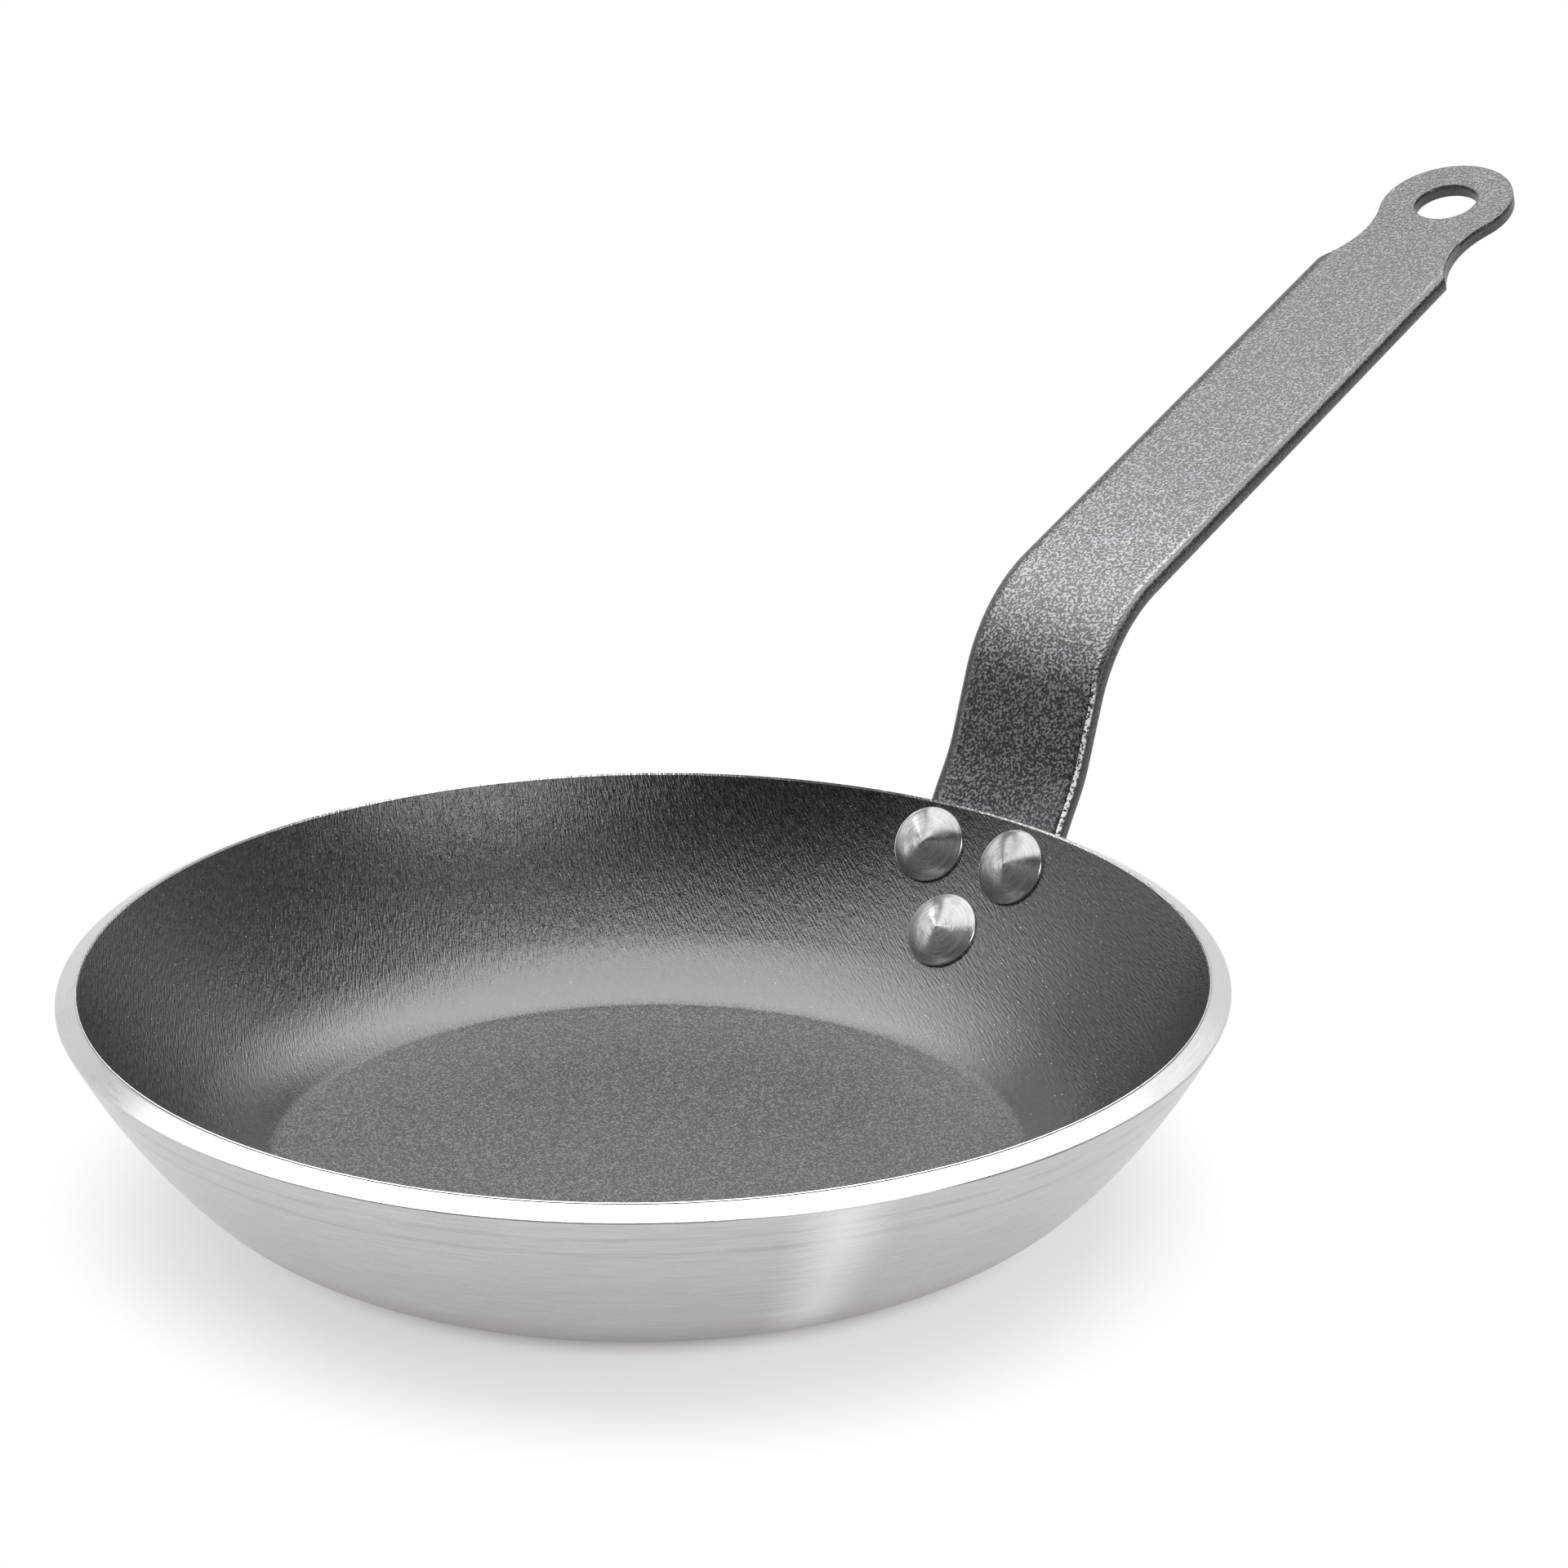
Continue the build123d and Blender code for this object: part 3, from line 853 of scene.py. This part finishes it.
@dataclass
class StripHandle:
    """The bent strip handle, from the tongue under the lower rivet to the hanging eye.

    A place on the strip is (s, v, d): the length along its face from the rim, the distance across to its
    left, and the depth below its face. The face's line has a slope that changes evenly along each bend,
    and its points are the running sums of that slope's cosine and sine.
    """

    bowl: Bowl
    width: float = 30.8 * MM
    thickness: float = 3.0 * MM
    round_edge: float = 1.3 * MM
    cut_ease: float = 0.35 * MM
    gap: float = 0.02 * MM
    foot: float = 5.8 * MM
    foot_bend: float = 50.0 * MM
    riser_slope: float = degrees(71.5)
    riser: float = 12.5 * MM
    grip_bend: float = 31.3 * MM
    grip_slope: float = degrees(21.8)
    grip: float = 131.5 * MM
    tongue: float = 9.0 * MM
    taper: float = 9.0 * MM
    eye: float = 13.7 * MM
    hole: float = 6.4 * MM
    neck: float = 21.2 * MM
    neck_width: float = 22.2 * MM
    rivet_below_rim: float = 23.6 * MM
    face_steps: int = 26

    def __post_init__(self) -> None:
        """Works out the ends of the straights and bends, and the face's line."""
        foot_arc = self.foot_bend * (self.riser_slope - self.bowl.rim_slope)
        grip_arc = self.grip_bend * (self.riser_slope - self.grip_slope)
        self.marks = np.cumsum([0.0, self.foot, foot_arc, self.riser, grip_arc, self.grip])
        self.lower = -self.rivet_below_rim * self.bowl.ball / (self.bowl.ball - self.bowl.thickness)
        self.low_end = self.lower - self.tongue
        self.eye_at = self.marks[5]
        self.neck_reach = self.neck_width / 2.0 + self.neck
        self.neck_back = math.sqrt((self.eye + self.neck) ** 2 - self.neck_reach**2)
        self.samples = np.linspace(self.low_end - 5.0 * MM, self.eye_at + 20.0 * MM, 12001)
        slopes = self.slope(self.samples)
        pace = np.diff(self.samples)
        along = np.concatenate([[0.0], np.cumsum(pace * np.cos((slopes[1:] + slopes[:-1]) / 2.0))])
        up = np.concatenate([[0.0], np.cumsum(pace * np.sin((slopes[1:] + slopes[:-1]) / 2.0))])
        self.along = along - np.interp(0.0, self.samples, along) + self.bowl.rim_radius
        self.up = up - np.interp(0.0, self.samples, up) + self.bowl.rim_height

    def slope(self, s: np.ndarray) -> np.ndarray:
        """The slope of the face's line, in radians, at lengths s from the rim."""
        marks = self.marks
        knots = [-self.bowl.ball, 0.0, marks[1], marks[2], marks[3], marks[4], marks[5]]
        rim = self.bowl.rim_slope
        values = [rim - 1.0, rim, rim, self.riser_slope, self.riser_slope, self.grip_slope, self.grip_slope]
        return np.interp(s, knots, values)

    def dish(self, s: np.ndarray) -> np.ndarray:
        """The face's curve across, one over its radius: the ball's over the foot, and none at the riser."""
        return (1.0 - smooth_step(s, -1.0 * MM, self.marks[2] + 1.0 * MM)) / self.bowl.ball

    def place(self, s: np.ndarray, v: np.ndarray, d: np.ndarray) -> np.ndarray:
        """Carries places on the strip into the row's frame.

        With k the curve across, a point v across and d deep lies (1 - sqrt((1 + dk)^2 - (vk)^2)) / k
        above the face's line, which is -d where k is nought. A small offset keeps the foot off the wall.

        Args:
            s: Lengths along the face.
            v: Distances across, to the left.
            d: Depths below the face.

        Returns:
            Points, with their three coordinates last.
        """
        s, v, d = np.broadcast_arrays(s, v, d)
        d = d + self.gap
        bend = self.dish(s)
        root = np.sqrt((1.0 + d * bend) ** 2 - (v * bend) ** 2)
        rise = (v * v * bend - d * (2.0 + d * bend)) / (1.0 + root)
        slope = self.slope(s)
        x = np.interp(s, self.samples, self.along) - rise * np.sin(slope)
        z = np.interp(s, self.samples, self.up) + rise * np.cos(slope)
        return np.stack([x, v, z], axis=-1)

    def sheet(self, s: np.ndarray, v: np.ndarray, d: np.ndarray, side: int = 0) -> Grid:
        """A grid of places on the strip, with UV in units of a centimetre.

        Args:
            s: Lengths along the face.
            v: Distances across, to the left.
            d: Depths below the face.
            side: 1 or -1 on the strip's left or right side, or 0 on its faces.

        Returns:
            The grid. Its UV is (s, v), and on a side v runs on past the face's edge by the depth.
        """
        s, v, d = np.broadcast_arrays(s, v, d)
        across = side * (self.width / 2.0 - self.round_edge + d) if side else v
        return Grid(self.place(s, v, d), np.stack([s, across], axis=-1) / UV_UNIT)

    def depths(self) -> np.ndarray:
        """Depths of the points down an edge, closer together near both faces."""
        top = self.thickness / 2.0 * np.linspace(0.0, 1.0, 12) ** 2
        return np.concatenate([top, self.thickness - top[::-1][1:]])

    def cut_inset(self, depth: np.ndarray) -> np.ndarray:
        """How far an eased cut edge stands back from its line: a quarter circle at each face."""
        near = np.minimum(depth, self.thickness - depth)
        over = np.clip(self.cut_ease - near, 0.0, self.cut_ease)
        return self.cut_ease - np.sqrt(self.cut_ease**2 - over**2)

    def round_width(self, depth: np.ndarray) -> np.ndarray:
        """Half the width of the rolled strip at a depth: its edges are arcs of round_edge."""
        near = np.minimum(depth, self.thickness - depth)
        over = np.clip(self.round_edge - near, 0.0, self.round_edge)
        return self.width / 2.0 - self.round_edge + np.sqrt(self.round_edge**2 - over**2)

    def cut_width(self, s: np.ndarray, soft: float) -> np.ndarray:
        """Half the width between the cuts: the tongue at one end, the neck at the other.

        The tongue's side is the tangent from the foot's corner to the circle round the lower rivet. The
        neck's side is an arc about a centre beyond the edge. Elsewhere the cuts lie past the strip.

        Args:
            s: Lengths along the face.
            soft: How far the shoulder's corner is rounded.

        Returns:
            Half widths.
        """
        half = self.width / 2.0
        y = s - self.lower
        reach = math.hypot(half, self.taper)
        lean = math.atan2(self.taper, half) - math.acos(self.tongue / reach)
        touch = self.tongue * math.sin(lean)
        circle = np.sqrt(np.maximum(self.tongue**2 - y**2, 0.0))
        slant = (half - self.tongue * math.cos(lean)) / (self.taper - touch)
        side = self.tongue * math.cos(lean) + (y - touch) * slant
        low = np.where(y < touch, circle, np.where(y < self.taper, side, half + 2.0 * MM))
        back = self.eye_at - s - self.neck_back
        arc_side = self.neck_reach - np.sqrt(np.maximum(self.neck**2 - back**2, 0.0))
        arc_side = np.where(back > self.neck, half + 20.0 * MM, arc_side)
        arc_side = np.where(back < 0.0, self.neck_width / 2.0, arc_side)
        limit = half + 0.5 * MM
        blend = np.clip(0.5 + (limit - arc_side) / (2.0 * soft), 0.0, 1.0)
        high = arc_side * blend + limit * (1.0 - blend) - soft * blend * (1.0 - blend)
        return np.minimum(low, high)

    def stations(self) -> np.ndarray:
        """Lengths of the strip's cross-sections, close together at the tongue, the bends and the neck."""
        marks, neck = self.marks, self.eye_at - self.neck_back
        tip = self.low_end + self.tongue * (1.0 - np.cos(np.linspace(0.0, math.pi / 2, 16)))
        spans = [
            tip,
            np.linspace(self.lower, self.lower + self.taper, 14),
            np.linspace(self.lower + self.taper, 0.0, 16),
            np.linspace(0.0, marks[3], 24),
            np.linspace(marks[3], marks[4] + 6.0 * MM, 40),
            np.linspace(marks[4] + 6.0 * MM, neck - 16.0 * MM, 60),
            np.linspace(neck - 16.0 * MM, neck, 90),
        ]
        return np.unique(np.concatenate(spans))

    def strip_grids(self) -> list[Grid]:
        """The strip from the tongue to the neck: its face, its back and its two sides."""
        s, depth = self.stations()[:, None], self.depths()[None, :]
        across = np.linspace(-1.0, 1.0, self.face_steps + 1)
        across = np.sort(np.concatenate([across, [-0.985, 0.985]]))[None, :]
        sides = []
        for soft in (0.1 * MM, 2.5 * MM):
            cut = np.maximum(self.cut_width(s, soft) - self.cut_inset(depth), 0.0)
            sides.append(np.minimum(self.round_width(depth), cut))
        right, left = sides
        middle = (left[:, :1] - right[:, :1]) / 2.0
        face = middle + across * (left[:, :1] + right[:, :1]) / 2.0
        return [
            self.sheet(s, face, 0.0),
            self.sheet(s[::-1], face[::-1], self.thickness),
            self.sheet(s, left, depth, 1),
            self.sheet(s[::-1], -right[::-1], depth, -1),
        ]

    def eye_grids(self) -> list[Grid]:
        """The eye: fans of straight lines from the hole's edge to the eye's outline and the neck's line."""
        half = self.neck_width / 2.0
        lean = math.atan2(self.neck_reach, -self.neck_back)
        circle = arc((0.0, 0.0), self.eye, -lean, lean, 97)
        outward = circle / self.eye
        flank = arc((-self.neck_back, self.neck_reach), self.neck, lean - math.pi, -math.pi / 2, 20)[1:]
        flank_out = (np.array([-self.neck_back, self.neck_reach]) - flank) / self.neck
        mirror = np.array([1.0, -1.0])
        edge = np.concatenate([flank[::-1] * mirror, circle, flank])
        normal = np.concatenate([flank_out[::-1] * mirror, outward, flank_out])
        level = np.linspace(half, -half, self.face_steps + 1) * ((half - self.cut_ease) / half)
        neck_line = np.stack([np.full_like(level, -self.neck_back), level], axis=1)
        rim = np.concatenate([edge - normal * self.cut_ease, neck_line[1:]])
        angle = np.arctan2(rim[:, 1], rim[:, 0])
        ray = np.stack([np.cos(angle), np.sin(angle)], axis=1)
        share = np.sort(np.concatenate([np.linspace(0.0, 1.0, 9), [0.03, 0.97]]))[None, :, None]
        face = ray[:, None, :] * (self.hole + self.cut_ease) * (1.0 - share) + rim[:, None, :] * share
        depth = self.depths()[None, :, None]
        inset = self.cut_inset(depth)
        wall = edge[:, None, :] - normal[:, None, :] * inset
        bore = ray[:, None, :] * (self.hole + inset)
        sheets = (
            (face, 0.0, 0),
            (face[::-1], self.thickness, 0),
            (wall, depth[..., 0], 1),
            (bore[::-1], depth[..., 0], 1),
        )
        return [
            self.sheet(self.eye_at + spots[..., 0], spots[..., 1], deep, side)
            for spots, deep, side in sheets
        ]

    def build(self) -> bpy.types.Object:
        """Builds the whole handle as one closed mesh."""
        return build_mesh("strip_handle", self.strip_grids() + self.eye_grids(), 38.0)


@dataclass(frozen=True)
class Lamp:
    """A softbox: where it hangs, what it looks at, its size, how brightly its face glows, and its turn."""

    name: str
    spot: tuple[float, float, float]
    target: tuple[float, float, float]
    size: tuple[float, float]
    glow: float
    spin: float = 0.0

    def hang(self, heading: float) -> None:
        """Adds the softbox, whose power is pi times its glow and its face's area.

        Args:
            heading: How far the camera's set is turned; a lamp that looks straight down is turned with it.
        """
        data = bpy.data.lights.new(self.name, "AREA")
        data.shape, data.size, data.size_y = "RECTANGLE", *self.size
        data.energy = math.pi * self.glow * self.size[0] * self.size[1]
        lamp = add_object(self.name, data)
        lamp.location = self.spot
        aim = Vector(self.target) - Vector(self.spot)
        if aim.xy.length < 1e-6:
            lamp.rotation_euler = (0.0, 0.0, self.spin - heading)
        else:
            lamp.rotation_euler = aim.to_track_quat("-Z", "Y").to_euler()


@dataclass
class Studio:
    """The pale floor, the white backdrop, the softboxes and the camera.

    Places are given as the camera sees the set, X to its right and Y away from it, and are turned about
    the bowl's axis into the row's frame by heading, the angle from that X to the handle.
    """

    heading: float = degrees(48.55)
    distance: float = 797.794 * MM
    elevation: float = degrees(24.657)
    yaw: float = degrees(1.775)
    pitch: float = degrees(4.787)
    roll: float = degrees(0.847)
    lens: float = 105.0
    floor_radius: float = 6.0
    floor_glow: float = 0.6
    shadow_reach: tuple[float, float] = (0.075, 0.135)
    contact_reach: tuple[float, float] = (0.06, 0.073)
    floor_colour: Colour = (0.86, 0.86, 0.86)
    room: Colour = (0.06, 0.06, 0.06)
    low_screen: tuple[float, ...] = (-0.16, 0.02, 0.44, 0.5)
    high_screen: tuple[float, ...] = (-0.1, 0.25, 0.68, 0.76)
    high_end: Span = (-0.42, -0.22)
    right_dim: Span = (0.55, 0.95)

    def turned(self, spot: tuple[float, float, float]) -> tuple[float, float, float]:
        """Returns a place of the camera's set in the row's frame."""
        return tuple(Matrix.Rotation(-self.heading, 3, "Z") @ Vector(spot))

    def camera(self) -> None:
        """Sets up the camera: behind the set by distance, raised by elevation, then turned three times.

        It starts with its line of sight through the bowl's axis. Yaw turns it about its own down
        direction, pitch about its right, and roll about its line of sight.
        """
        ahead = Vector((0.0, math.cos(self.elevation), -math.sin(self.elevation)))
        right = Vector((1.0, 0.0, 0.0))
        spot = ahead * -self.distance
        down = ahead.cross(right)
        turn = Matrix.Rotation(self.yaw, 3, down)
        ahead, right = turn @ ahead, turn @ right
        turn = Matrix.Rotation(self.pitch, 3, right)
        ahead, down = turn @ ahead, turn @ down
        turn = Matrix.Rotation(self.roll, 3, ahead)
        right, down = turn @ right, turn @ down
        pose = Matrix((right, -down, -ahead)).transposed().to_4x4()
        pose.translation = spot
        data = bpy.data.cameras.new("product_camera")
        data.lens, data.sensor_width = self.lens, 36.0
        data.clip_start, data.clip_end = 0.01, 50.0
        camera = add_object("product_camera", data)
        camera.matrix_world = Matrix.Rotation(-self.heading, 4, "Z") @ pose
        bpy.context.scene.camera = camera

    def floor(self) -> None:
        """Lays the floor, a wide disc that the camera and mirrors see fade to white away from the pan."""
        grid = revolve(line((0.0, 0.0), (self.floor_radius, 0.0), 4), 64)
        mesh = bpy.data.meshes.new("floor")
        mesh.from_pydata(grid.points.reshape(-1, 3).tolist(), [], grid.corners()[:, ::-1].tolist())
        floor = add_object("floor", mesh)
        material = bpy.data.materials.new("pale_floor")
        wiring = empty_tree(material)
        matte = wiring.add("ShaderNodeBsdfDiffuse", {"Color": (*self.floor_colour, 1.0)})
        white = wiring.add("ShaderNodeEmission", {"Color": WHITE, "Strength": 1.0})
        away = wiring.measure("LENGTH", wiring.add("ShaderNodeTexCoord").outputs["Object"])
        path = wiring.add("ShaderNodeLightPath").outputs
        seen = wiring.math("MAXIMUM", path["Is Camera Ray"], path["Is Glossy Ray"])
        seen = wiring.math("MAXIMUM", seen, path["Is Transmission Ray"])
        glow = wiring.step(away, *self.shadow_reach, self.floor_glow, 1.0)
        glow = wiring.times(glow, wiring.step(away, *self.contact_reach))
        inputs = {0: wiring.times(seen, glow), 1: matte.outputs[0], 2: white.outputs[0]}
        mixed = wiring.add("ShaderNodeMixShader", inputs)
        wiring.add("ShaderNodeOutputMaterial", {"Surface": mixed.outputs[0]})
        floor.data.materials.append(material)

    def world(self) -> None:
        """Makes the room: soft grey, white for the camera, and a backdrop behind that only mirrors see.

        The backdrop is a low screen and, at the left, a higher one. A screen's first two numbers are how
        far behind a ray points where the screen starts and where it is full, and its last two are how
        far up a ray points where it starts to fade and where it ends.
        """
        world = bpy.data.worlds.new("studio")
        bpy.context.scene.world = world
        wiring = empty_tree(world)
        path = wiring.add("ShaderNodeLightPath").outputs
        ray = wiring.add("ShaderNodeTexCoord").outputs["Generated"]
        up = wiring.parts(ray)[2]
        behind = wiring.measure("DOT_PRODUCT", ray, self.turned((0.0, 1.0, 0.0)))
        aside = wiring.measure("DOT_PRODUCT", ray, self.turned((1.0, 0.0, 0.0)))
        low, high = (
            wiring.times(wiring.step(behind, *screen[:2]), wiring.fade(up, *screen[2:]))
            for screen in (self.low_screen, self.high_screen)
        )
        high = wiring.times(high, wiring.step(aside, *self.high_end, 0.66, 0.0))
        backdrop = wiring.math("MAXIMUM", low, high)
        backdrop = wiring.times(backdrop, wiring.step(aside, *self.right_dim, 1.0, 0.55))
        backdrop = wiring.times(path["Is Glossy Ray"], backdrop)
        seen = wiring.math("MAXIMUM", path["Is Camera Ray"], path["Is Transmission Ray"])
        soft = wiring.add("ShaderNodeBackground", {"Color": (*self.room, 1.0), "Strength": 1.0})
        white = wiring.add("ShaderNodeBackground", {"Color": WHITE, "Strength": 1.0})
        inputs = {0: wiring.math("MAXIMUM", seen, backdrop), 1: soft.outputs[0], 2: white.outputs[0]}
        mixed = wiring.add("ShaderNodeMixShader", inputs)
        wiring.add("ShaderNodeOutputWorld", {"Surface": mixed.outputs[0]})

    def set_up(self) -> None:
        """Sets up the whole studio."""
        self.camera()
        self.floor()
        self.world()
        for lamp in (
            Lamp("overhead_softbox", (0.02, 0.36, 1.1), (0.02, 0.36, 0.0), (1.5, 1.62), 4.4, degrees(-13.0)),
            Lamp("left_softbox", (-1.1, 0.36, 1.1), (-1.1, 0.36, 0.0), (0.5, 1.32), 3.2),
            Lamp("right_softbox", (0.83, 0.9, 0.87), (0.0, 0.0, 0.03), (0.8, 0.5), 1.3),
            Lamp("front_softbox", (0.66, -0.8, 0.66), (0.0, 0.0, 0.03), (0.56, 0.45), 6.0),
        ):
            replace(lamp, spot=self.turned(lamp.spot), target=self.turned(lamp.target)).hang(self.heading)
        bpy.context.scene.view_settings.view_transform = "Standard"


def main() -> None:
    """Loads the frame, dresses each piece and sets up the studio."""
    logging.basicConfig(level=logging.INFO, format="%(name)s: %(message)s")
    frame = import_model()
    log.info("frame loaded with nodes %s", ", ".join(sorted(frame["nodes"])))
    bowl = Bowl()
    bowl.dress()
    settle(StripHandle(bowl).build(), "handle", "handle_enamel", EnamelFinish().material())
    rivet_material = RivetFinish().material()
    for seat in Seat:
        settle(Rivet(seat, bowl).build(), seat.value[0], "rivet_aluminium", rivet_material)
    Studio().set_up()


if __name__ == "__main__":
    main()
